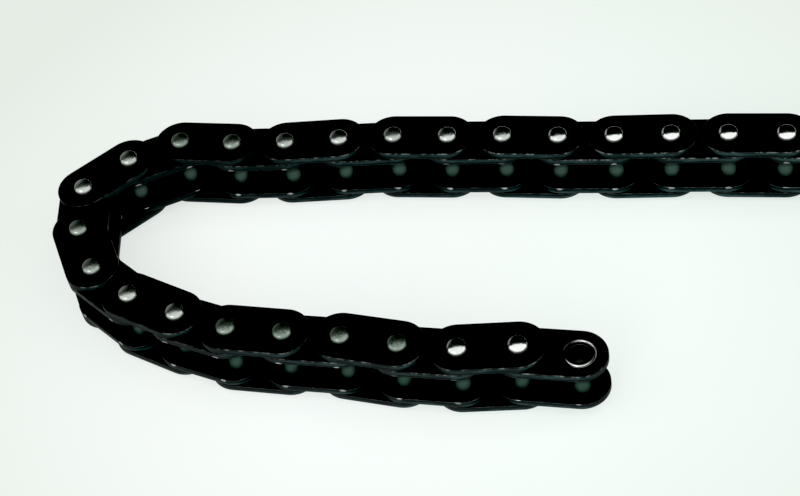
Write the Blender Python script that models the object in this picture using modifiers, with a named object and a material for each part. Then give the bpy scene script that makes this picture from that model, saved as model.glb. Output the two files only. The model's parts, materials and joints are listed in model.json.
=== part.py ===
"""Open length of a motorcycle drive chain, lying on its side in a U.

Plain roller chain, size 428: half-inch pitch, 5/16 inch between the inner plates, no seals.
Inner links (two plates, two bushes, two rollers) alternate with outer links (two plates, two pins).
Every pin stands along Z and rests on the plane Z = 0. The long straight strand lies along X.

Numbers count from the free end. Pin k joins link k to link k + 1; bush and roller k + 1 sit on it.
The three links at the free end are made piece by piece. Each link after them is one rigid solid,
because a link's plates are pressed onto its pins or bushes and never move on them.
"""
import math

import bmesh
import bpy
from mathutils import Vector

MM = 0.001

# The chain's size
PITCH = 12.70 * MM
INNER_WIDTH = 7.94 * MM
PLATE_THICKNESS = 1.70 * MM
PLATE_HEIGHT = 12.20 * MM
ROLLER_RADIUS = 4.255 * MM
BUSH_RADIUS = 3.25 * MM
PIN_RADIUS = 2.25 * MM
PIN_LENGTH = 17.20 * MM

# Fits: running gaps turn, press gaps only keep two pressed pieces apart
RUNNING_GAP = 0.02 * MM
PRESS_GAP = 0.02 * MM
PLATE_GAP = 0.14 * MM
ROLLER_END_GAP = 0.10 * MM
BUSH_PROUD = 0.04 * MM

# Edge of a pin's ends
PIN_CHAMFER = 0.45 * MM

# Facets
ROUND_SEGMENTS = 14
END_SEGMENTS = 8
SMOOTH_ANGLE = math.radians(40)
MERGE_DISTANCE = 0.001 * MM

# How the chain lies: the first link's heading, then the clockwise turn at each pin, in degrees
FIRST_HEADING = 176
FREE_STRAND_TURNS = (-8, 8, 5, -5, 1)
BEND_TURNS = (13, 5, 14, 26, 19, 54, 18, 29)
LONG_STRAND_TURNS = (-4, -3, 1, 4, -1, 2, -2, -1, 1, 1, 0)
TURNS = FREE_STRAND_TURNS + BEND_TURNS + LONG_STRAND_TURNS
LINKS = len(TURNS) + 1

# Links made piece by piece, and the link in mid-chain that the others hang from
PIECED_LINKS = 3
ROOT_LINK = 13

# Levels above the plane the pins stand on, and sizes that follow from the ones above
MIDDLE = PIN_LENGTH / 2
INNER_PLATE_OFFSET = (INNER_WIDTH + PLATE_THICKNESS) / 2
OUTER_PLATE_OFFSET = INNER_PLATE_OFFSET + PLATE_THICKNESS + PLATE_GAP
BUSH_LENGTH = INNER_WIDTH + 2 * (PLATE_THICKNESS + BUSH_PROUD)
ROLLER_LENGTH = INNER_WIDTH - 2 * ROLLER_END_GAP
FACET_DEPTH = math.cos(math.pi / ROUND_SEGMENTS)
BUSH_BORE_RADIUS = (PIN_RADIUS + RUNNING_GAP) / FACET_DEPTH
ROLLER_BORE_RADIUS = (BUSH_RADIUS + RUNNING_GAP) / FACET_DEPTH

# Colour, roughness and metallic value of each finish
FINISHES = {
    "outer_plate": ((0.012, 0.012, 0.013), 0.35, 0.9),
    "inner_plate": ((0.010, 0.011, 0.011), 0.40, 0.9),
    "pin": ((0.62, 0.62, 0.60), 0.20, 1.0),
    "bush": ((0.45, 0.45, 0.43), 0.30, 1.0),
    "roller": ((0.030, 0.032, 0.030), 0.25, 1.0),
    "outer_link": ((0.012, 0.012, 0.013), 0.35, 0.9),
    "inner_link": ((0.010, 0.011, 0.011), 0.40, 0.9),
}


def clear_scene():
    for old in list(bpy.data.objects):
        bpy.data.objects.remove(old, do_unlink=True)


def new_collection(name):
    collection = bpy.data.collections.new(name)
    bpy.context.scene.collection.children.link(collection)
    return collection


def new_material(name):
    colour, roughness, metallic = FINISHES[name]
    material = bpy.data.materials.new(name)
    material.use_nodes = True
    shader = material.node_tree.nodes["Principled BSDF"]
    shader.inputs["Base Color"].default_value = (*colour, 1.0)
    shader.inputs["Roughness"].default_value = roughness
    shader.inputs["Metallic"].default_value = metallic
    return material


def baked_mesh(source, name):
    """The mesh an object's modifiers or curve make, welded; the object itself goes."""
    bpy.context.view_layer.update()
    evaluated = source.evaluated_get(bpy.context.evaluated_depsgraph_get())
    mesh = bpy.data.meshes.new_from_object(evaluated)
    mesh.name = name
    bpy.data.objects.remove(source, do_unlink=True)
    shape = bmesh.new()
    shape.from_mesh(mesh)
    bmesh.ops.remove_doubles(shape, verts=shape.verts, dist=MERGE_DISTANCE)
    bmesh.ops.recalc_face_normals(shape, faces=shape.faces)
    shape.to_mesh(mesh)
    shape.free()
    return mesh


def turned_mesh(name, profile):
    """A closed loop of (radius, height) points, or a line that ends on the axis, turned about Z."""
    on_axis = profile[0][0] == 0
    points = [(radius, 0, height) for radius, height in profile]
    edges = [(i, i + 1) for i in range(len(points) - 1)]
    if not on_axis:
        edges.append((len(points) - 1, 0))
    line = bpy.data.meshes.new(name + "_profile")
    line.from_pydata(points, edges, [])
    source = bpy.data.objects.new(name + "_profile", line)
    workshop.objects.link(source)
    screw = source.modifiers.new("turn", 'SCREW')
    screw.axis = 'Z'
    screw.angle = math.tau
    screw.steps = ROUND_SEGMENTS
    screw.render_steps = ROUND_SEGMENTS
    screw.use_merge_vertices = True
    screw.merge_threshold = MERGE_DISTANCE
    return baked_mesh(source, name)


def tube_profile(outer, bore, length):
    """Top to bottom down the outer side, then back up the bore."""
    half = length / 2
    return [(outer, half), (outer, -half), (bore, -half), (bore, half)]


def pin_profile():
    half = PIN_LENGTH / 2
    shoulder = PIN_RADIUS - PIN_CHAMFER
    return [
        (0, half), (shoulder, half), (PIN_RADIUS, half - PIN_CHAMFER),
        (PIN_RADIUS, PIN_CHAMFER - half), (shoulder, -half), (0, -half),
    ]


def circle_points(centre_x, radius, segments, first=0.0, sweep=math.tau):
    """Points on an arc; a full circle leaves out its repeated last point."""
    count = segments if sweep == math.tau else segments + 1
    angles = [first + sweep * i / segments for i in range(count)]
    return [(centre_x + radius * math.cos(a), radius * math.sin(a)) for a in angles]


def plate_mesh(name, hole_radius):
    """A straight-sided plate with two round ends, from the hinge at the origin to X = pitch."""
    end_radius = PLATE_HEIGHT / 2
    far_end = circle_points(PITCH, end_radius, END_SEGMENTS, -math.pi / 2, math.pi)
    near_end = circle_points(0, end_radius, END_SEGMENTS, math.pi / 2, math.pi)
    outlines = [far_end + near_end]
    if hole_radius:
        outlines += [circle_points(x, hole_radius, ROUND_SEGMENTS) for x in (0, PITCH)]
    curve = bpy.data.curves.new(name + "_outline", 'CURVE')
    curve.dimensions = '2D'
    curve.fill_mode = 'BOTH'
    curve.extrude = PLATE_THICKNESS / 2
    for outline in outlines:
        spline = curve.splines.new('POLY')
        spline.points.add(len(outline) - 1)
        for point, (x, y) in zip(spline.points, outline):
            point.co = (x, y, 0, 1)
        spline.use_cyclic_u = True
    source = bpy.data.objects.new(name + "_outline", curve)
    workshop.objects.link(source)
    return baked_mesh(source, name)


def boolean_mesh(name, base, steps):
    """Union or difference of placed meshes: base and each step's mesh are (mesh, x, z)."""
    def placed(piece):
        mesh, x, z = piece
        thing = bpy.data.objects.new(name + "_tool", mesh)
        thing.location = (x, 0, z)
        thing.hide_render = True
        thing.display_type = 'WIRE'
        workshop.objects.link(thing)
        return thing

    body = placed(base)
    tools = []
    for operation, piece in steps:
        tool = placed(piece)
        tools.append(tool)
        modifier = body.modifiers.new(operation.lower(), 'BOOLEAN')
        modifier.operation = operation
        modifier.solver = 'EXACT'
        modifier.object = tool
    offset = Vector(body.location)
    mesh = baked_mesh(body, name)
    for vertex in mesh.vertices:
        vertex.co += offset
    for tool in tools:
        bpy.data.objects.remove(tool, do_unlink=True)
    return mesh


def outer_link_mesh(plate, pin):
    """Two plates on two pins, about the chain's middle plane."""
    steps = [('UNION', (plate, 0, -OUTER_PLATE_OFFSET)), ('UNION', (pin, 0, 0)), ('UNION', (pin, PITCH, 0))]
    return boolean_mesh("outer_link", (plate, 0, OUTER_PLATE_OFFSET), steps)


def inner_link_mesh(plate, bush_blank, bore):
    """Two plates on two bushes, bored through, about the chain's middle plane."""
    steps = [('UNION', (plate, 0, -INNER_PLATE_OFFSET))]
    steps += [('UNION', (bush_blank, x, 0)) for x in (0, PITCH)]
    steps += [('DIFFERENCE', (bore, x, 0)) for x in (0, PITCH)]
    return boolean_mesh("inner_link", (plate, 0, INNER_PLATE_OFFSET), steps)


def rod_mesh(name, radius, length):
    shape = bmesh.new()
    bmesh.ops.create_cone(shape, cap_ends=True, segments=ROUND_SEGMENTS,
                          radius1=radius, radius2=radius, depth=length)
    mesh = bpy.data.meshes.new(name)
    shape.to_mesh(mesh)
    shape.free()
    return mesh


def make_meshes():
    """One mesh for each kind of piece."""
    pin = turned_mesh("pin", pin_profile())
    bush_shape = tube_profile(BUSH_RADIUS, BUSH_BORE_RADIUS, BUSH_LENGTH)
    roller_shape = tube_profile(ROLLER_RADIUS, ROLLER_BORE_RADIUS, ROLLER_LENGTH)
    solid_plate = plate_mesh("solid_plate", 0)
    bush_blank = rod_mesh("bush_blank", BUSH_RADIUS, BUSH_LENGTH)
    bore = rod_mesh("bore", BUSH_BORE_RADIUS, 2 * BUSH_LENGTH)
    meshes = {
        "pin": pin,
        "bush": turned_mesh("bush", bush_shape),
        "roller": turned_mesh("roller", roller_shape),
        "outer_plate": plate_mesh("outer_plate", PIN_RADIUS + PRESS_GAP),
        "inner_plate": plate_mesh("inner_plate", BUSH_RADIUS + PRESS_GAP),
        "outer_link": outer_link_mesh(solid_plate, pin),
        "inner_link": inner_link_mesh(solid_plate, bush_blank, bore),
    }
    for kind, mesh in meshes.items():
        mesh.materials.clear()
        mesh.materials.append(new_material(kind))
        mesh.shade_smooth()
        mesh.set_sharp_from_angle(angle=SMOOTH_ANGLE)
    return meshes


def lay_of_chain():
    """Each pin's place, from the free end's empty bush to the far one, and each link's heading."""
    heading = math.radians(FIRST_HEADING)
    places = [Vector((0, 0, 0))]
    headings = []
    for turn in (*TURNS, 0):
        headings.append(heading)
        places.append(places[-1] + PITCH * Vector((math.cos(heading), math.sin(heading), 0)))
        heading -= math.radians(turn)
    return places, headings


def add_empty(name, parent, location, heading):
    empty = bpy.data.objects.new(name, None)
    empty.empty_display_size = PITCH / 2
    empty.location = location
    empty.rotation_euler = (0, 0, heading)
    empty.parent = parent
    parts.objects.link(empty)
    return empty


def add_piece(name, kind, parent, x, z):
    piece = bpy.data.objects.new(name, meshes[kind])
    piece.location = (x, 0, z)
    piece.parent = parent
    parts.objects.link(piece)


def add_plates(kind, number, parent, offset):
    add_piece(f"{kind}_top_{number:02d}", kind, parent, 0, offset)
    add_piece(f"{kind}_bottom_{number:02d}", kind, parent, 0, -offset)


def add_inner_link(number, pieced, parent, ends):
    """Two plates and two bushes, with a roller on each bush; ends pairs a pin's number with its x."""
    if pieced:
        add_plates("inner_plate", number, parent, INNER_PLATE_OFFSET)
        for pin, x in ends:
            add_piece(f"bush_{pin + 1:02d}", "bush", parent, x, 0)
    else:
        add_piece(f"inner_link_{number:02d}", "inner_link", parent, 0, 0)
    for pin, x in ends:
        add_piece(f"roller_{pin + 1:02d}", "roller", parent, x, 0)


def add_outer_link(number, pieced, parent, ends):
    """Two plates and two pins; ends pairs a pin's number with its x."""
    if pieced:
        add_plates("outer_plate", number, parent, OUTER_PLATE_OFFSET)
        for pin, x in ends:
            add_piece(f"pin_{pin:02d}", "pin", parent, x, 0)
    else:
        add_piece(f"outer_link_{number:02d}", "outer_link", parent, 0, 0)


def add_links(chain):
    """Each link hangs on the hinge at its end nearer the root link, on an empty of its own."""
    places, headings = lay_of_chain()
    for link in range(1, LINKS + 1):
        before_root = link < ROOT_LINK
        hinge, far = (link, link - 1) if before_root else (link - 1, link)
        heading = headings[link - 1] + (math.pi if before_root else 0)
        frame = add_empty(f"link_frame_{link:02d}", chain, places[hinge], heading)
        ends = ((hinge, 0), (far, PITCH))
        number = (link + 1) // 2
        add_link = add_inner_link if link % 2 else add_outer_link
        add_link(number, link <= PIECED_LINKS, frame, ends)


def stand_on_origin(chain):
    """Move the whole chain so that its box is centred over the origin and stands on Z = 0."""
    bpy.context.view_layer.update()
    corners = [piece.matrix_world @ vertex.co
               for piece in parts.objects if piece.type == 'MESH'
               for vertex in piece.data.vertices]
    for axis in (0, 1):
        values = [corner[axis] for corner in corners]
        chain.location[axis] -= (min(values) + max(values)) / 2
    chain.location[2] = MIDDLE


clear_scene()
workshop = new_collection("workshop")
parts = new_collection("drive_chain")
meshes = make_meshes()
frame_of_chain = add_empty("chain_frame", None, (0, 0, 0), 0)
add_links(frame_of_chain)
stand_on_origin(frame_of_chain)
bpy.context.view_layer.update()
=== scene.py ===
"""Looks of an open length of motorcycle drive chain that lies on its side in a U.

Every plate, pin, bush and roller is its own finely made piece, placed where the frame's hinges say.
Lengths are in metres.
"""
import json
import math

import bmesh
import bpy
from mathutils import Matrix, Vector

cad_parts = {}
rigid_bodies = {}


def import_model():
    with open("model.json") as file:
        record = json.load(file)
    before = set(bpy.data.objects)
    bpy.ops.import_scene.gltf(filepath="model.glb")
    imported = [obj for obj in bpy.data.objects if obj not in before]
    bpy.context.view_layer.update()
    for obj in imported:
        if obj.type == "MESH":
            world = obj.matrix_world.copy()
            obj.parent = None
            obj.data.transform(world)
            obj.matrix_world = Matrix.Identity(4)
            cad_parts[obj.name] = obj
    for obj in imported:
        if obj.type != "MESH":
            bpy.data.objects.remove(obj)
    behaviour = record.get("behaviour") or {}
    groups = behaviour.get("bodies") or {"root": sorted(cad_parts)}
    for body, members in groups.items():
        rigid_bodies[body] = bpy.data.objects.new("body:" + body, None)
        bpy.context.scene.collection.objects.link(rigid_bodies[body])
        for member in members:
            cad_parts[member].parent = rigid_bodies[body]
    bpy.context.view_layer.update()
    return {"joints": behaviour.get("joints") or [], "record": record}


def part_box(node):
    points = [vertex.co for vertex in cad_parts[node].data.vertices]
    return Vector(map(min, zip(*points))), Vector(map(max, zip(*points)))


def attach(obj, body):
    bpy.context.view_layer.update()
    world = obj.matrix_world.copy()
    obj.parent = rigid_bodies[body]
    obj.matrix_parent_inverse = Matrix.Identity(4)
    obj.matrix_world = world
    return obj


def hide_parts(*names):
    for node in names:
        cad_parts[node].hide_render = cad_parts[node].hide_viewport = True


for old in list(bpy.data.objects):
    bpy.data.objects.remove(old, do_unlink=True)
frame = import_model()

MM = 0.001

# Sizes of the pieces, as in the CAD
PIN_RADIUS = 2.25 * MM
BUSH_RADIUS = 3.25 * MM
BUSH_BORE_RADIUS = 2.30 * MM
ROLLER_RADIUS = 4.255 * MM
ROLLER_BORE_RADIUS = 3.29 * MM
PLATE_HEIGHT = 12.2 * MM
PRESS_GAP = 0.005 * MM

# Rounded and broken edges
PLATE_SOFT_EDGE = 0.26 * MM
PLATE_SHARP_EDGE = 0.14 * MM
PIN_HOLE_EDGE = 0.10 * MM
BUSH_HOLE_EDGE = 0.42 * MM
FLAT_MARGIN = 0.10 * MM
PIN_DOME = 0.26 * MM
PIN_SHOULDER_WIDTH = 0.50 * MM
PIN_SHOULDER_DROP = 0.78 * MM
PIN_RIM_SLOPE = math.radians(66)
BUSH_EDGE = 0.34 * MM
BORE_EDGE = 0.14 * MM
ROLLER_EDGE = 0.45 * MM

# Facets
PLATE_END_SEGMENTS = 40
PLATE_SIDE_SEGMENTS = 24
HOLE_SEGMENTS = 56
ROUND_SEGMENTS = 72
EDGE_STEPS = 5
DOME_STEPS = 12
BUSH_BANDS = 2
ROLLER_BANDS = 4

# Wear of the black finish: 1 is a rubbed edge, and well above 1 it is bare metal
BRIGHT_WEAR = 3.0
RUBBED_WEAR = 2.2
INNER_EDGE_WEAR = 0.35
LIP_LEAN = 1.2

# The bare spot beside each roller: how far it reaches along the plate, and up its wall as a share of it
POLISH_REACH = 0.80 * MM
POLISH_RISE = 0.34

# Dimming of the plates' painted wall sheen and edge highlights, by link: most about one link, spread over
# a few, some on the rest
SHEEN_DIMMING_MOST = 0.9
SHEEN_DIMMING_LINK = 13
SHEEN_DIMMING_SPREAD = 2.7
SHEEN_DIMMING_REST = 0.32
UNDIMMED_FROM_LINK = 22
SHEEN_DIMMING_FADE_LINKS = 4

# How far along each axis noise may be moved from piece to piece, in cycles
NOISE_SHIFTS = (31.0, 48.0, 65.0)

# Turning rings on the pins' ends, and how far they differ from pin to pin
RINGS_PER_METRE = 14000.0
RING_SHIFT = 40.0

# How much dull oil film is on each pin, from the free end to the far end
PIN_FILM = (
    0.0, 0.12, 1.0, 1.0, 1.0, 1.0, 0.55, 0.55, 0.8, 0.9, 0.55, 0.65,
    1.0, 0.9, 0.7, 0.45, 0.65, 0.4, 0.5, 0.2, 0.0, 0.0, 0.0, 0.0,
)

# The camera: where it looks from, and how long its lens is
CAMERA_AZIMUTH = 15.88
CAMERA_ELEVATION = 49.08
CAMERA_ROLL = -12.13
CAMERA_DISTANCE = 0.3961
CAMERA_AIM = (-0.0095, -0.0036, 0.0161)
CAMERA_LENS = 81.64
SENSOR_WIDTH = 36.0

# The lights are bright round patches on the inside of a dark room; angles are in degrees.
# The sky is half of the room, leaning towards the camera; the window is low, behind and to the left;
# the lamp is in front, to the left.
WINDOW = {"tilt": 76.0, "turn": -146.0, "radius": 22.0, "blur": 7.0, "strength": 0.36}
SKY = {"tilt": 66.0, "turn": -6.0, "radius": 90.0, "blur": 1.5, "strength": 1.35}
LAMP = {"tilt": 54.0, "turn": -40.0, "radius": 11.0, "blur": 5.0, "strength": 4.5}
LIGHT_COLOUR = (0.975, 1.0, 0.985)
ROOM_COLOUR = (0.006, 0.010, 0.008)
BACKDROP_COLOUR = (0.87, 0.92, 0.895)

# The table: the painted light it glows with, and the two distances from the middle between which it turns
# into the backdrop
TABLE_HALF_SIDE = 3.0
FLOOR_GLOW = 0.785
FLOOR_FADE = (0.35, 1.1)

# Brightness below which the picture is plain black
BLACK_LEVEL = 0.012


# ---------------------------------------------------------------- places, from the frame

def joint_places(prefix):
    """The places of a family of joints, by the number at the end of each name."""
    return {
        int(joint["name"].rsplit("_", 1)[1]): Vector(joint["pos_m"])
        for joint in frame["joints"] if joint["name"].startswith(prefix)
    }


bush_places = joint_places("roller_spin")
BUSHES = len(bush_places)
LINKS = BUSHES - 1
PITCH = (bush_places[2] - bush_places[1]).length


def node_levels(node):
    low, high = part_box(node)
    return low.z, high.z


OUTER_TOP = node_levels("outer_plate_top_01")
INNER_TOP = node_levels("inner_plate_top_01")
PIN_LEVELS = node_levels("pin_01")
BUSH_LEVELS = node_levels("bush_01")
ROLLER_LEVELS = node_levels("roller_01")


# ---------------------------------------------------------------- mesh making

def new_piece(name, mesh):
    piece = bpy.data.objects.new(name, mesh)
    bpy.context.scene.collection.objects.link(piece)
    return piece


def finished_mesh(shape, name, material):
    """A mesh from a bmesh, with its faces pointing out and shaded smooth."""
    bmesh.ops.recalc_face_normals(shape, faces=shape.faces)
    mesh = bpy.data.meshes.new(name)
    shape.to_mesh(mesh)
    shape.free()
    mesh.materials.append(material)
    mesh.shade_smooth()
    return mesh


def bridge(shape, ring, next_ring):
    for i, vertex in enumerate(ring):
        j = (i + 1) % len(ring)
        shape.faces.new((vertex, ring[j], next_ring[j], next_ring[i]))


def edge_profile(soft, sharp, low, high):
    """(inset, z, wear) down the side of a plate: rounded at the top, nearly sharp at the foot.

    Wear is 1 on the rounded edges, where black finish rubs off, and 0 on the flats and the wall.
    """
    rows = [(soft + FLAT_MARGIN, high, 0.0)]
    for i in range(EDGE_STEPS + 1):
        a = math.pi / 2 * i / EDGE_STEPS
        rows.append((soft * (1 - math.sin(a)), high - soft * (1 - math.cos(a)), math.sin(2 * a)))
    for i in range(EDGE_STEPS + 1):
        a = math.pi / 2 * i / EDGE_STEPS
        rows.append((sharp * (1 - math.cos(a)), low + sharp * (1 - math.sin(a)), math.sin(2 * a)))
    rows.append((sharp + FLAT_MARGIN, low, 0.0))
    return rows


def outline_points(inset):
    """The plate's outline: straight sides and two round ends, one about each hole."""
    radius = PLATE_HEIGHT / 2 - inset
    points = []
    for centre_x, first in ((PITCH, -math.pi / 2), (0.0, math.pi / 2)):
        for i in range(PLATE_END_SEGMENTS + 1):
            a = first + math.pi * i / PLATE_END_SEGMENTS
            points.append((centre_x + radius * math.cos(a), radius * math.sin(a)))
        along = -1 if centre_x else 1
        for i in range(1, PLATE_SIDE_SEGMENTS):
            points.append((centre_x + along * PITCH * i / PLATE_SIDE_SEGMENTS, -along * radius))
    return points


def hole_points(centre_x, radius):
    angles = [math.tau * i / HOLE_SEGMENTS for i in range(HOLE_SEGMENTS)]
    return [(centre_x + radius * math.cos(a), radius * math.sin(a)) for a in angles]


def polish(x):
    """How bright sprocket teeth have rubbed a plate's inner edge: most beside each roller."""
    beside = min(abs(x), abs(x - PITCH)) / POLISH_REACH
    return RUBBED_WEAR * max(0.0, 1.0 - beside ** 2)


def lip_wear(x, y, centre_x):
    """How bright a hole's lip is: most on the side of the plate's end, none towards its middle."""
    outwards = (x - centre_x) if centre_x else -x
    return BRIGHT_WEAR * max(0.0, min(1.0, 1.0 + LIP_LEAN * outwards / math.hypot(x - centre_x, y)))


def plate_mesh(name, material, hole_radius, hole_edge, low, high, polished):
    """A punched plate: its rounded edge faces out of the chain (up), its sharp edge faces in.

    On a polished plate the lower edge beside the rollers and the holes' upper lips are bright.
    """
    shape = bmesh.new()
    wear_layer = shape.verts.layers.float.new("wear")
    flats = {low: [], high: []}
    middle = (low + high) / 2

    def side_wear(place):
        if place.z > middle:
            return 1.0
        return INNER_EDGE_WEAR + (polish(place.x) if polished else 0.0)

    def wall(rings, wear_rule):
        previous = None
        for points, z, wear in rings:
            ring = [shape.verts.new((x, y, z)) for x, y in points]
            for vertex in ring:
                vertex[wear_layer] = wear * wear_rule(vertex.co)
            if previous:
                bridge(shape, previous, ring)
            else:
                flats[high].append(ring)
            previous = ring
        flats[low].append(previous)

    side = edge_profile(PLATE_SOFT_EDGE, PLATE_SHARP_EDGE, low, high)
    wall([(outline_points(inset), z, wear) for inset, z, wear in side], side_wear)
    lip = edge_profile(hole_edge, PLATE_SHARP_EDGE, low, high)
    for centre_x in (0.0, PITCH):
        def hole_wear(place):
            return lip_wear(place.x, place.y, centre_x) if polished and place.z > middle else 0.0
        wall([(hole_points(centre_x, hole_radius + inset), z, wear) for inset, z, wear in lip], hole_wear)
    for rings in flats.values():
        edges = []
        for ring in rings:
            for i, vertex in enumerate(ring):
                edges.append(shape.edges.get((vertex, ring[(i + 1) % len(ring)])))
        bmesh.ops.triangle_fill(shape, use_beauty=True, edges=edges)
    return finished_mesh(shape, name, material)


def turned_mesh(name, material, profile, closed):
    """A profile of (radius, z, wear) points turned about Z.

    A closed profile makes a tube. An open one starts and ends on the axis.
    """
    shape = bmesh.new()
    wear_layer = shape.verts.layers.float.new("wear")
    rings = []
    for radius, z, wear in profile:
        count = ROUND_SEGMENTS if radius > 0 else 1
        ring = []
        for i in range(count):
            a = math.tau * i / ROUND_SEGMENTS
            vertex = shape.verts.new((radius * math.cos(a), radius * math.sin(a), z))
            vertex[wear_layer] = wear
            ring.append(vertex)
        rings.append(ring)
    pairs = list(zip(rings, rings[1:]))
    if closed:
        pairs.append((rings[-1], rings[0]))
    for ring, next_ring in pairs:
        if len(ring) == 1 or len(next_ring) == 1:
            tip, rim = (ring[0], next_ring) if len(ring) == 1 else (next_ring[0], ring)
            for i, vertex in enumerate(rim):
                shape.faces.new((tip, vertex, rim[(i + 1) % len(rim)]))
        else:
            bridge(shape, ring, next_ring)
    return finished_mesh(shape, name, material)


def corner_arc(radius, z, size, out, up):
    """A rounded corner from the flat (at the end) to the wall; out and up are +1 or -1."""
    rows = []
    for i in range(EDGE_STEPS + 1):
        a = math.pi / 2 * i / EDGE_STEPS
        rows.append((radius - out * size * (1 - math.sin(a)), z - up * size * (1 - math.cos(a)),
                     math.sin(2 * a)))
    return rows


def tube_profile(outer, bore, low, high, edge, bore_edge, bands):
    """Down the outer side, then up the bore. bands is how many loops the straight walls get."""
    rows = [(outer - edge - FLAT_MARGIN, high, 0.0)]
    rows += corner_arc(outer, high, edge, 1, 1)
    for i in range(1, bands):
        rows.append((outer, high - edge + (low - high + 2 * edge) * i / bands, 0.0))
    rows += reversed(corner_arc(outer, low, edge, 1, -1))
    rows.append((outer - edge - FLAT_MARGIN, low, 0.0))
    rows.append((bore + bore_edge + FLAT_MARGIN, low, 0.0))
    lip = corner_arc(bore, low, bore_edge, -1, -1)
    lip += reversed(corner_arc(bore, high, bore_edge, -1, 1))
    rows += [(radius, z, 0.0) for radius, z, _ in lip]
    rows.append((bore + bore_edge + FLAT_MARGIN, high, 0.0))
    return rows


def pin_end_profile(tip, inward):
    """Half a pin's profile, from the middle of its domed end to its shaft. inward is +1 or -1."""
    face = PIN_RADIUS - PIN_SHOULDER_WIDTH
    dome_radius = (face ** 2 + PIN_DOME ** 2) / (2 * PIN_DOME)
    rows = [(0.0, tip, 0.0)]
    for i in range(1, DOME_STEPS + 1):
        radius = face * i / DOME_STEPS
        drop = dome_radius - math.sqrt(dome_radius ** 2 - radius ** 2)
        rows.append((radius, tip + inward * drop, 0.0))
    slope = math.asin(face / dome_radius)
    for i in range(1, EDGE_STEPS + 1):
        a = slope + (PIN_RIM_SLOPE - slope) * i / EDGE_STEPS
        spread = (math.sin(a) - math.sin(slope)) / (math.sin(PIN_RIM_SLOPE) - math.sin(slope))
        drop = (math.cos(slope) - math.cos(a)) / (math.cos(slope) - math.cos(PIN_RIM_SLOPE))
        rows.append((face + PIN_SHOULDER_WIDTH * spread,
                     tip + inward * (PIN_DOME + PIN_SHOULDER_DROP * drop), 1.0))
    return rows


def pin_profile(low, high):
    return pin_end_profile(high, -1) + list(reversed(pin_end_profile(low, 1)))


# ---------------------------------------------------------------- materials

def grey(value, tint=(1.0, 1.0, 1.0)):
    return (*(value * t for t in tint), 1.0)


# Colours; a pair is what a material varies between
OUTER_DARKNESS = 0.0050
INNER_DARKNESS = 0.0045
WALL_TORN = grey(0.005, (0.4, 1.0, 1.0))
# A painted teal sheen on the burnished wall, shown where it is seen square on.
WALL_SHEEN = grey(0.040, (0.34, 1.0, 1.02)), grey(0.060, (0.52, 1.0, 1.02))
PLATE_SCRATCH = grey(0.03)
# Rubbed edges: worn finish, with a painted highlight where they are seen square on.
PLATE_RUB_AND_HIGHLIGHT = grey(0.27, (0.86, 1.0, 0.96))
PLATE_BARE = grey(0.6)
PIN_STEEL = grey(0.76, (1.0, 1.0, 0.98)), grey(0.64, (0.98, 1.0, 0.97))
PIN_GREASE = grey(0.055, (0.60, 1.0, 0.62)), grey(0.21, (0.76, 1.0, 0.77))
PIN_RIM_OIL = grey(0.23, (0.80, 1.0, 0.83))
BUSH_DARK = grey(0.020), grey(0.035, (1.0, 1.0, 0.95))
BUSH_BRIGHT = grey(0.70, (1.0, 1.0, 0.98))
# Roller colours: a painted sheen seen square on, painted shade turned away, and soiling with painted
# shade at the ends.
ROLLER_SKIN_SHEEN = grey(0.080, (0.60, 1.0, 0.82)), grey(0.115, (0.66, 1.0, 0.84))
ROLLER_TURNED_AWAY_SHADE = grey(0.004)
ROLLER_END_GRIME_AND_SHADE = grey(0.004, (0.8, 1.0, 0.9))
ROLLER_RUBBED = grey(0.30)
ROLLER_GLOSS = grey(0.2, (0.7, 1.0, 0.9))
TABLE_PAINT = grey(0.88, (0.955, 1.0, 0.970)), grey(0.92, (0.965, 1.0, 0.980))
TABLE_COOL = grey(0.88, (0.865, 1.0, 0.945))
# Painted shade: the table a little darker away from the middle.
TABLE_FAR_SHADE = grey(0.75, (0.940, 1.0, 0.930))
TABLE_SHADE = grey(0.08)
BLACK = grey(0.0)


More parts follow.
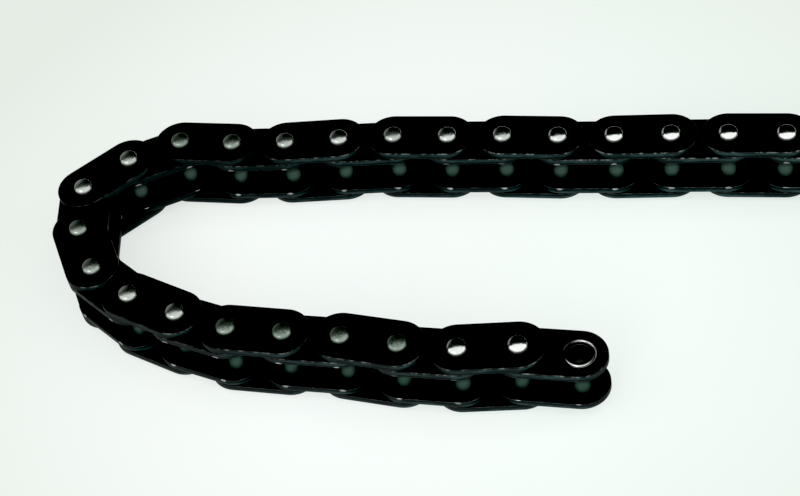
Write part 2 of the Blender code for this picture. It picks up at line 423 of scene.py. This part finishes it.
class Shader:
    """A node tree under construction, with short ways to add the nodes used here.

    The alpha of a piece's own colour is how much oil film a pin carries, and how far a plate's painted
    wall sheen and edge highlights are dimmed.
    """

    def __init__(self, name):
        self.material = bpy.data.materials.new(name)
        self.material.use_nodes = True
        self.tree = self.material.node_tree
        self.principled = self.tree.nodes["Principled BSDF"]
        self.place = self.tree.nodes.new("ShaderNodeTexCoord").outputs["Object"]
        info = self.tree.nodes.new("ShaderNodeObjectInfo")
        self.spread = info.outputs["Random"]
        self.film_and_dimming = info.outputs["Alpha"]

    def link(self, value, socket):
        if isinstance(value, bpy.types.NodeSocket):
            self.tree.links.new(value, socket)
        else:
            socket.default_value = value

    def math(self, operation, a, b=0.0, clamp=False):
        node = self.tree.nodes.new("ShaderNodeMath")
        node.operation = operation
        node.use_clamp = clamp
        self.link(a, node.inputs[0])
        self.link(b, node.inputs[1])
        return node.outputs[0]

    def stretched(self, scale):
        """Object coordinates times a scale on each axis, moved by an amount that differs by piece."""
        shift = self.tree.nodes.new("ShaderNodeCombineXYZ")
        for i, most in enumerate(NOISE_SHIFTS):
            self.link(self.math('MULTIPLY', self.spread, most), shift.inputs[i])
        node = self.tree.nodes.new("ShaderNodeMapping")
        self.link(self.place, node.inputs["Vector"])
        self.link(shift.outputs[0], node.inputs["Location"])
        node.inputs["Scale"].default_value = scale
        return node.outputs[0]

    def noise(self, scale, detail=4.0, roughness=0.55):
        """Noise whose scale is cycles per metre, as one number or one for each axis."""
        scales = scale if isinstance(scale, tuple) else (scale,) * 3
        return self.noise_at(self.stretched(scales), detail, roughness)

    def noise_at(self, place, detail=4.0, roughness=0.55):
        node = self.tree.nodes.new("ShaderNodeTexNoise")
        self.link(place, node.inputs["Vector"])
        node.inputs["Scale"].default_value = 1.0
        node.inputs["Detail"].default_value = detail
        node.inputs["Roughness"].default_value = roughness
        return node.outputs["Fac"]

    def ranged(self, value, low, high, to_low=0.0, to_high=1.0):
        node = self.tree.nodes.new("ShaderNodeMapRange")
        self.link(value, node.inputs["Value"])
        limits = {"From Min": low, "From Max": high, "To Min": to_low, "To Max": to_high}
        for name, number in limits.items():
            self.link(number, node.inputs[name])
        return node.outputs[0]

    def mix(self, share, a, b):
        node = self.tree.nodes.new("ShaderNodeMix")
        node.data_type = 'RGBA'
        self.link(share, node.inputs[0])
        self.link(a, node.inputs[6])
        self.link(b, node.inputs[7])
        return node.outputs[2]

    def attribute(self, name):
        node = self.tree.nodes.new("ShaderNodeAttribute")
        node.attribute_name = name
        return node.outputs["Fac"]

    def bump(self, height, depth, below=None):
        """depth is in metres from height 0 to height 1."""
        node = self.tree.nodes.new("ShaderNodeBump")
        node.inputs["Strength"].default_value = 1.0
        node.inputs["Distance"].default_value = depth
        self.link(height, node.inputs["Height"])
        if below:
            self.link(below, node.inputs["Normal"])
        return node.outputs[0]

    def along(self, axis):
        """Place along one of the piece's own axes."""
        split = self.tree.nodes.new("ShaderNodeSeparateXYZ")
        self.link(self.place, split.inputs[0])
        return split.outputs[axis]

    def radius(self):
        """Distance from the piece's own Z axis."""
        squares = [self.math('MULTIPLY', self.along(axis), self.along(axis)) for axis in "XY"]
        return self.math('SQRT', self.math('ADD', *squares))

    def flat_direction(self, output):
        """A direction of the Geometry node, laid flat on the table."""
        flat = self.tree.nodes.new("ShaderNodeVectorMath")
        flat.operation = 'MULTIPLY'
        flat.inputs[1].default_value = (1.0, 1.0, 0.0)
        self.link(self.tree.nodes.new("ShaderNodeNewGeometry").outputs[output], flat.inputs[0])
        unit = self.tree.nodes.new("ShaderNodeVectorMath")
        unit.operation = 'NORMALIZE'
        self.link(flat.outputs[0], unit.inputs[0])
        return unit.outputs[0]

    def squareness(self):
        """1 where an upright wall is seen square on, 0 where it turns away, from any height."""
        node = self.tree.nodes.new("ShaderNodeVectorMath")
        node.operation = 'DOT_PRODUCT'
        self.link(self.flat_direction("Incoming"), node.inputs[0])
        self.link(self.flat_direction("Normal"), node.inputs[1])
        return node.outputs["Value"]

    def wall_share(self):
        """1 on walls that stand along the piece's own Z axis, 0 on faces and rounded edges."""
        split = self.tree.nodes.new("ShaderNodeSeparateXYZ")
        self.link(self.tree.nodes.new("ShaderNodeTexCoord").outputs["Normal"], split.inputs[0])
        return self.ranged(self.math('ABSOLUTE', split.outputs[2]), 0.30, 0.05)

    def wire(self, **values):
        for name, value in values.items():
            self.link(value, self.principled.inputs[name.replace("_", " ").title().replace("Ior", "IOR")])


def bare_spot(s, height):
    """A ragged spot of bare metal beside each roller, at the inner edge of a plate's wall."""
    x = s.along('X')
    beside = s.math('MINIMUM', s.math('ABSOLUTE', x), s.math('ABSOLUTE', s.math('SUBTRACT', x, PITCH)))
    spot = s.math('ADD', s.math('POWER', s.math('DIVIDE', beside, POLISH_REACH), 2.0),
                  s.math('POWER', s.math('DIVIDE', height, POLISH_RISE), 2.0))
    ragged = s.math('ADD', spot, s.ranged(s.noise(1500, 3), 0.3, 0.7, -0.35, 0.35))
    return s.math('MULTIPLY', s.ranged(ragged, 1.0, 0.6), s.ranged(s.spread, 0.30, 0.95, 0.0, 0.85))


def plate_material(name, darkness, low, high, polished):
    """Oil-blackened steel: nearly black, satin, with faint grain, thin scratches and rubbed edges.

    The punched wall is burnished towards the outer face (high) and torn, rough and dark towards low.
    A polished plate's wall is bare metal beside the rollers, at its inner edge. The burnished wall
    carries a painted sheen and the rubbed edges a painted highlight, shown where seen square on and
    dimmed link by link.
    """
    s = Shader(name)
    cloud = s.noise(500, 5)
    grain = s.noise(9000, 3)
    scratch = s.ranged(s.noise((350, 16000, 350), 2, 0.4), 0.66, 0.74)
    patchy = s.ranged(s.noise(700, 4), 0.48, 0.66)
    waves = s.noise((260, 260, 60), 3)
    blotches = s.noise(190, 3)
    wear = s.attribute("wear")
    wall = s.wall_share()
    facing = s.squareness()
    # How much of the painted wall sheen and edge highlights is left, link by link.
    undimmed = s.math('SUBTRACT', 1.0, s.film_and_dimming)
    height = s.ranged(s.along('Z'), low, high)

    rub = s.math('MULTIPLY', s.ranged(wear, 0.0, 1.0), s.ranged(patchy, 0.0, 1.0, 0.05, 1.0))
    # Painted highlight: the rubbed edges show most where they are seen square on.
    rub = s.math('MULTIPLY', rub, s.ranged(facing, 0.6, 0.97, 0.12, 1.0))
    rub = s.math('MULTIPLY', rub, undimmed)
    bare_from = s.ranged(s.spread, 0.0, 1.0, 2.0, 3.4)
    bare = s.math('MULTIPLY', s.ranged(wear, 1.1, bare_from), s.ranged(cloud, 0.35, 0.6, 0.5, 1.0))
    if polished:
        bare = s.math('MAXIMUM', bare, s.math('MULTIPLY', bare_spot(s, height), wall))
    torn_line = s.ranged(waves, 0.3, 0.7, 0.32, 0.58)
    burnished = s.math('MULTIPLY', s.ranged(s.math('SUBTRACT', height, torn_line), -0.10, 0.16),
                       s.ranged(blotches, 0.36, 0.62, 0.25, 1.0))
    # Painted sheen: the burnished wall takes the teal only where it is seen square on.
    oily_sheen = s.math('MULTIPLY', burnished, s.ranged(facing, 0.78, 0.99, 0.08, 1.0))
    oily_sheen = s.math('MULTIPLY', oily_sheen, undimmed)

    black = s.mix(cloud, grey(darkness, (0.9, 1.0, 1.0)), grey(darkness * 1.4, (1.0, 1.0, 0.95)))
    side = s.mix(oily_sheen, WALL_TORN, s.mix(cloud, *WALL_SHEEN))
    scored = s.mix(s.math('MULTIPLY', scratch, 0.12), s.mix(wall, black, side), PLATE_SCRATCH)
    rubbed = s.mix(s.math('MULTIPLY', rub, 0.8), scored, PLATE_RUB_AND_HIGHLIGHT)
    s.wire(base_color=s.mix(bare, rubbed, PLATE_BARE))
    s.wire(metallic=s.math('MAXIMUM', s.math('MULTIPLY', rub, 0.6), bare))

    shine = s.ranged(cloud, 0.3, 0.7, 0.15, 0.19)
    satin = s.math('ADD', shine, s.math('MULTIPLY', scratch, 0.08))
    dull = s.math('MULTIPLY', wall, s.ranged(burnished, 0.0, 1.0, 0.50, 0.25))
    s.wire(roughness=s.math('ADD', satin, dull))
    edge = s.math('MULTIPLY', s.ranged(wear, 0.0, 0.5), 0.30)
    s.wire(specular_ior_level=s.math('SUBTRACT', s.ranged(wall, 0.0, 1.0, 0.34, 0.12), edge, True))
    pitted = s.bump(grain, 0.0010 * MM)
    torn = s.math('SUBTRACT', wall, burnished, True)
    torn_grain = s.math('MULTIPLY', s.noise((7000, 7000, 1500), 4), torn)
    s.wire(normal=s.bump(torn_grain, 0.010 * MM, s.bump(scratch, -0.0012 * MM, pitted)))
    return s.material


def pin_material():
    """Bright ground steel, with faint turning rings and pits, under more or less of a dull oil film.

    The film is mottled grease in the middle of the pin's end, and thinner oil towards its rim.
    """
    s = Shader("bright_pin_steel")
    smear = s.noise(700, 4)
    ring_place = s.tree.nodes.new("ShaderNodeCombineXYZ")
    s.link(s.math('MULTIPLY', s.radius(), RINGS_PER_METRE), ring_place.inputs[0])
    s.link(s.math('MULTIPLY', s.spread, RING_SHIFT), ring_place.inputs[1])
    rings = s.noise_at(ring_place.outputs[0], 2)
    steel = s.mix(smear, *PIN_STEEL)
    film = s.math('MULTIPLY', s.film_and_dimming, s.ranged(smear, 0.3, 0.7, 0.85, 1.0))
    speckle = s.noise(3200, 3)
    grease = s.mix(s.ranged(speckle, 0.38, 0.62), *PIN_GREASE)
    ragged_radius = s.math('ADD', s.radius(), s.ranged(speckle, 0.0, 1.0, -0.3 * MM, 0.3 * MM))
    towards_rim = s.ranged(ragged_radius, 0.55 * PIN_RADIUS, 0.92 * PIN_RADIUS)
    oil = s.mix(towards_rim, grease, PIN_RIM_OIL)
    s.wire(base_color=s.mix(film, steel, oil))
    s.wire(metallic=1.0)
    ground = s.ranged(smear, 0.3, 0.7, 0.09, 0.15)
    s.wire(roughness=s.math('ADD', ground, s.math('MULTIPLY', film, 0.20)))
    pitted = s.math('MULTIPLY', s.noise(1600, 3), s.ranged(s.spread, 0.35, 1.0))
    s.wire(normal=s.bump(rings, 0.0012 * MM, s.bump(pitted, 0.035 * MM)))
    return s.material


def bush_material():
    """Dark carburised steel, its rounded rims polished to bright metal, most of all across the link."""
    s = Shader("bush_steel")
    cloud = s.noise(900, 4)
    across = s.math('DIVIDE', s.math('ABSOLUTE', s.along('Y')), s.radius())
    shine = s.math('MULTIPLY', s.attribute("wear"), s.ranged(cloud, 0.25, 0.5, 0.75, 1.0))
    shine = s.math('MULTIPLY', shine, s.ranged(across, 0.45, 0.97, 0.08, 1.0))
    s.wire(base_color=s.mix(shine, s.mix(cloud, *BUSH_DARK), BUSH_BRIGHT))
    s.wire(metallic=1.0)
    s.wire(roughness=s.ranged(shine, 0.0, 1.0, 0.34, 0.16))
    s.wire(normal=s.bump(s.noise((900, 900, 9000), 3), 0.0015 * MM))
    return s.material


def roller_material(low, high):
    """Black hardened steel, finely ground round and round, darker towards its ends with soiling and
    painted shade near the plates.

    Its oil film carries a painted sheen where it is seen square on, and painted shade where the roller
    turns away.
    """
    s = Shader("black_roller_steel")
    cloud = s.noise(600, 4)
    ground = s.noise((500, 500, 14000), 3)
    rub = s.math('MULTIPLY', s.attribute("wear"), s.ranged(cloud, 0.4, 0.6))
    off_middle = s.math('ABSOLUTE', s.ranged(s.along('Z'), low, high, -1.0, 1.0))
    # Darker towards both ends, near the plates: soiling and painted shade.
    end_grime_and_shade = s.ranged(s.math('ADD', off_middle, s.ranged(cloud, 0.3, 0.7, -0.08, 0.08)), 0.15, 0.80)
    narrowed = s.math('SUBTRACT', s.squareness(), s.math('MULTIPLY', end_grime_and_shade, 0.09))
    skin_sheen = s.mix(cloud, *ROLLER_SKIN_SHEEN)
    # Painted sheen where the roller is seen square on, painted shade where it turns away.
    sheen = s.mix(s.ranged(narrowed, 0.89, 0.99, 0.08, 1.0), ROLLER_TURNED_AWAY_SHADE, skin_sheen)
    oily_sheen = s.mix(end_grime_and_shade, sheen, ROLLER_END_GRIME_AND_SHADE)
    s.wire(base_color=s.mix(s.math('MULTIPLY', rub, 0.25), oily_sheen, ROLLER_RUBBED))
    s.wire(metallic=s.ranged(end_grime_and_shade, 0.0, 1.0, 1.0, 0.3))
    s.wire(roughness=s.ranged(cloud, 0.3, 0.7, 0.33, 0.41))
    s.wire(specular_ior_level=0.2, specular_tint=ROLLER_GLOSS)
    s.wire(normal=s.bump(ground, 0.0006 * MM))
    return s.material


def floor_material():
    """A matt white table that glows with painted light, a little darker far out as painted shade, cooler
    to the right, hardly visibly mottled.

    Far out it turns into the backdrop, so no horizon shows.
    """
    s = Shader("white_table")
    paint_and_shade = s.mix(s.noise(14, 5), *TABLE_PAINT)
    paint_and_shade = s.mix(s.ranged(s.along('X'), -0.06, 0.16, 0.0, 0.7), paint_and_shade, TABLE_COOL)
    # Painted shade: darker away from the middle.
    paint_and_shade = s.mix(s.ranged(s.radius(), 0.05, 0.14), paint_and_shade, TABLE_FAR_SHADE)
    fade = s.ranged(s.radius(), *FLOOR_FADE)
    # The base is mostly dark grey and the painted glow carries the brightness, so shadows on the table
    # are weak.
    s.wire(base_color=s.mix(fade, s.mix(0.75, paint_and_shade, TABLE_SHADE), BLACK))
    s.wire(emission_color=s.mix(fade, paint_and_shade, (*BACKDROP_COLOUR, 1.0)))
    s.wire(emission_strength=s.ranged(fade, 0.0, 1.0, FLOOR_GLOW, 1.0))
    s.wire(specular_ior_level=s.ranged(fade, 0.0, 1.0, 0.08, 0.0))
    s.wire(roughness=0.62)
    s.wire(normal=s.bump(s.noise(2500, 3), 0.006 * MM))
    return s.material


# ---------------------------------------------------------------- the chain

def placed(name, mesh, hinge, heading, body, nodes, flip=False):
    """A piece at a pin's place, its X along the link; a flipped one is turned upside down about X."""
    piece = new_piece(name, mesh)
    turn = Matrix.Rotation(heading, 4, 'Z')
    if flip:
        turn = turn @ Matrix.Rotation(math.pi, 4, 'X')
    piece.matrix_world = Matrix.Translation(hinge) @ turn
    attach(piece, body)
    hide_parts(*nodes)
    return piece


def from_middle(levels):
    """Levels measured from the chain's middle plane."""
    middle = bush_places[1].z
    return levels[0] - middle, levels[1] - middle


def link_nodes(body, kind):
    """The CAD nodes of a link that a piece of this kind stands for: its own, or the whole link's."""
    members = frame["record"]["behaviour"]["bodies"][body]
    return [node for node in members if node.startswith(kind)] or members


def wall_sheen_dimming(link):
    """How far a link's painted wall sheen and edge highlights are dimmed: most on the bend, least at the
    far end.
    """
    bend = SHEEN_DIMMING_MOST * math.exp(-((link - SHEEN_DIMMING_LINK) / SHEEN_DIMMING_SPREAD) ** 2)
    elsewhere = SHEEN_DIMMING_REST * max(0.0, min(1.0, (UNDIMMED_FROM_LINK - link) / SHEEN_DIMMING_FADE_LINKS))
    return max(bend, elsewhere)


def build_chain():
    outer_black = plate_material("black_outer_plate", OUTER_DARKNESS, *from_middle(OUTER_TOP), False)
    inner_black = plate_material("black_inner_plate", INNER_DARKNESS, *from_middle(INNER_TOP), True)
    outer_plate = plate_mesh("outer_plate", outer_black, PIN_RADIUS + PRESS_GAP, PIN_HOLE_EDGE,
                             *from_middle(OUTER_TOP), False)
    inner_plate = plate_mesh("inner_plate", inner_black, BUSH_RADIUS + PRESS_GAP, BUSH_HOLE_EDGE,
                             *from_middle(INNER_TOP), True)
    pin = turned_mesh("pin", pin_material(), pin_profile(*from_middle(PIN_LEVELS)), False)
    bush_rows = tube_profile(BUSH_RADIUS, BUSH_BORE_RADIUS, *from_middle(BUSH_LEVELS),
                             BUSH_EDGE, BORE_EDGE, BUSH_BANDS)
    bush = turned_mesh("bush", bush_material(), bush_rows, True)
    roller_rows = tube_profile(ROLLER_RADIUS, ROLLER_BORE_RADIUS, *from_middle(ROLLER_LEVELS),
                               ROLLER_EDGE, BORE_EDGE, ROLLER_BANDS)
    roller_steel = roller_material(*from_middle(ROLLER_LEVELS))
    roller = turned_mesh("roller", roller_steel, roller_rows, True)

    for link in range(1, LINKS + 1):
        first, last = bush_places[link], bush_places[link + 1]
        heading = math.atan2(last.y - first.y, last.x - first.x)
        number = (link + 1) // 2
        inner = link % 2 == 1
        kind = "inner" if inner else "outer"
        body = f"{kind}_link_{number:02d}"
        plate = inner_plate if inner else outer_plate
        for side, flip in (("top", False), ("bottom", True)):
            nodes = link_nodes(body, f"{kind}_plate_{side}")
            name = f"plate_{kind}_{side}_{number:02d}"
            piece = placed(name, plate, first, heading, body, nodes, flip)
            # The alpha dims the plate's painted wall sheen and edge highlights.
            piece.color = (1.0, 1.0, 1.0, wall_sheen_dimming(link))
        for bush_number in (link, link + 1):
            here = bush_places[bush_number]
            if inner:
                nodes = link_nodes(body, f"bush_{bush_number:02d}")
                placed(f"chain_bush_{bush_number:02d}", bush, here, heading, body, nodes)
                spin = f"roller_{bush_number:02d}"
                placed(f"chain_roller_{bush_number:02d}", roller, here, heading, spin, [spin])
            else:
                pin_number = bush_number - 1
                nodes = link_nodes(body, f"pin_{pin_number:02d}")
                piece = placed(f"chain_pin_{pin_number:02d}", pin, here, heading, body, nodes)
                piece.color = (1.0, 1.0, 1.0, PIN_FILM[pin_number - 1])


# ---------------------------------------------------------------- floor, light and camera

def build_floor():
    shape = bmesh.new()
    bmesh.ops.create_grid(shape, x_segments=1, y_segments=1, size=TABLE_HALF_SIDE)
    mesh = bpy.data.meshes.new("table_top")
    shape.to_mesh(mesh)
    shape.free()
    mesh.materials.append(floor_material())
    floor = new_piece("table_top", mesh)


def light_patch(tree, dark, tilt, turn, radius, blur, strength):
    """The colour dark with a round patch of light; tilt is from straight up, turn is from the camera."""
    tilt, turn = math.radians(tilt), math.radians(CAMERA_AZIMUTH + turn)
    towards = tree.nodes.new("ShaderNodeVectorMath")
    towards.operation = 'DOT_PRODUCT'
    towards.inputs[1].default_value = (math.sin(turn) * math.sin(tilt), -math.cos(turn) * math.sin(tilt),
                                       math.cos(tilt))
    tree.links.new(tree.nodes.new("ShaderNodeTexCoord").outputs["Generated"], towards.inputs[0])
    patch = tree.nodes.new("ShaderNodeMapRange")
    patch.interpolation_type = 'SMOOTHSTEP'
    patch.inputs["From Min"].default_value = math.cos(math.radians(radius + blur))
    patch.inputs["From Max"].default_value = math.cos(math.radians(radius - blur))
    tree.links.new(towards.outputs["Value"], patch.inputs["Value"])
    colour = tree.nodes.new("ShaderNodeMix")
    colour.data_type = 'RGBA'
    tree.links.new(patch.outputs[0], colour.inputs[0])
    tree.links.new(dark, colour.inputs[6])
    colour.inputs[7].default_value = (*(strength * c for c in LIGHT_COLOUR), 1.0)
    return colour.outputs[2]


def build_world():
    """A dark room with half a sky of soft light, a window and a lamp; the camera sees a pale backdrop."""
    world = bpy.data.worlds.new("studio")
    bpy.context.scene.world = world
    world.use_nodes = True
    tree = world.node_tree
    tree.nodes.clear()
    output = tree.nodes.new("ShaderNodeOutputWorld")
    walls = tree.nodes.new("ShaderNodeRGB")
    walls.outputs[0].default_value = (*ROOM_COLOUR, 1.0)
    lit = walls.outputs[0]
    for patch in (WINDOW, SKY, LAMP):
        lit = light_patch(tree, lit, **patch)
    room = tree.nodes.new("ShaderNodeBackground")
    tree.links.new(lit, room.inputs["Color"])
    backdrop = tree.nodes.new("ShaderNodeBackground")
    backdrop.inputs["Color"].default_value = (*BACKDROP_COLOUR, 1.0)
    path = tree.nodes.new("ShaderNodeLightPath")
    mix = tree.nodes.new("ShaderNodeMixShader")
    tree.links.new(path.outputs["Is Camera Ray"], mix.inputs[0])
    tree.links.new(room.outputs[0], mix.inputs[1])
    tree.links.new(backdrop.outputs[0], mix.inputs[2])
    tree.links.new(mix.outputs[0], output.inputs[0])


def build_camera():
    camera = bpy.data.cameras.new("camera")
    camera.lens = CAMERA_LENS
    camera.sensor_width = SENSOR_WIDTH
    camera.clip_start = 0.01
    thing = bpy.data.objects.new("camera", camera)
    azimuth, elevation = math.radians(CAMERA_AZIMUTH), math.radians(CAMERA_ELEVATION)
    back = Vector((math.sin(azimuth) * math.cos(elevation), -math.cos(azimuth) * math.cos(elevation),
                   math.sin(elevation)))
    facing = (-back).to_track_quat('-Z', 'Y').to_matrix().to_4x4()
    roll = Matrix.Rotation(math.radians(CAMERA_ROLL), 4, 'Z')
    place = Vector(CAMERA_AIM) + back * CAMERA_DISTANCE
    thing.matrix_world = Matrix.Translation(place) @ facing @ roll
    bpy.context.scene.collection.objects.link(thing)
    bpy.context.scene.camera = thing


build_chain()
build_floor()
build_world()
build_camera()
bpy.context.scene.view_settings.view_transform = 'Standard'
bpy.context.scene.view_settings.look = 'None'
bpy.context.scene.view_settings.use_curve_mapping = True
bpy.context.scene.view_settings.curve_mapping.black_level = (BLACK_LEVEL,) * 3
